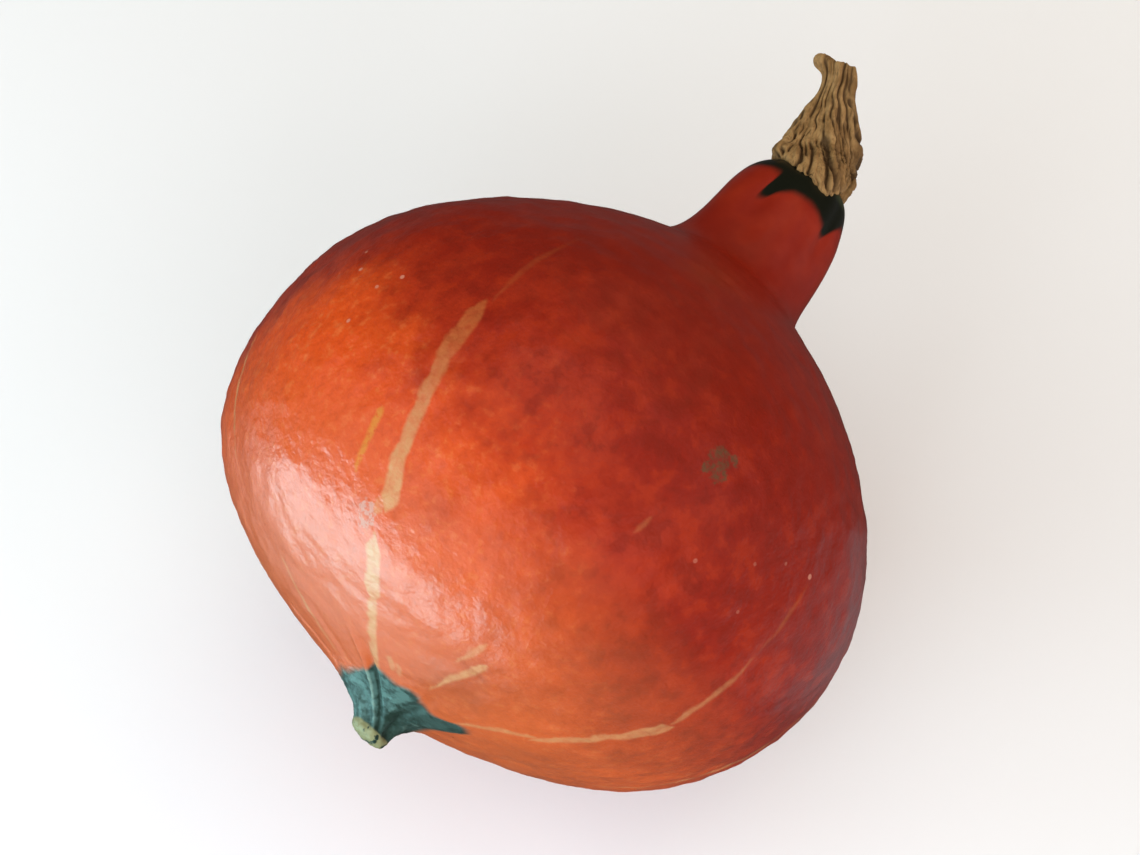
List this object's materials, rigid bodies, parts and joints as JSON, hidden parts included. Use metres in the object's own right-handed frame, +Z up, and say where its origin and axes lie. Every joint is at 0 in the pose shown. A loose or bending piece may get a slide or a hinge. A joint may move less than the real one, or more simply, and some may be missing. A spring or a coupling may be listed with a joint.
{
  "type": "kabocha squash",
  "caption": "Red, onion-shaped kabocha squash lying on its side, with a short lobed neck, a dry corky stem and a green nub at its blossom end.",
  "frame": {"origin": "middle of the small flat spot that the squash lies on", "axes": "+Z up from the surface it lies on; +X level, from the blossom nub towards the stem; the squash's own axis rises 10 degrees from +X"},
  "size_m": [0.2276, 0.1789, 0.1781],
  "materials": {
    "fruit_skin": "waxy rind with a satin gloss, mottled red and orange, pale tan stripes, green at both ends",
    "stem_cork": "dry, matt, ridged cork"
  },
  "bodies": {
    "root": {"fruit": "fruit_skin", "stem": "stem_cork"}
  },
  "joints": []
}
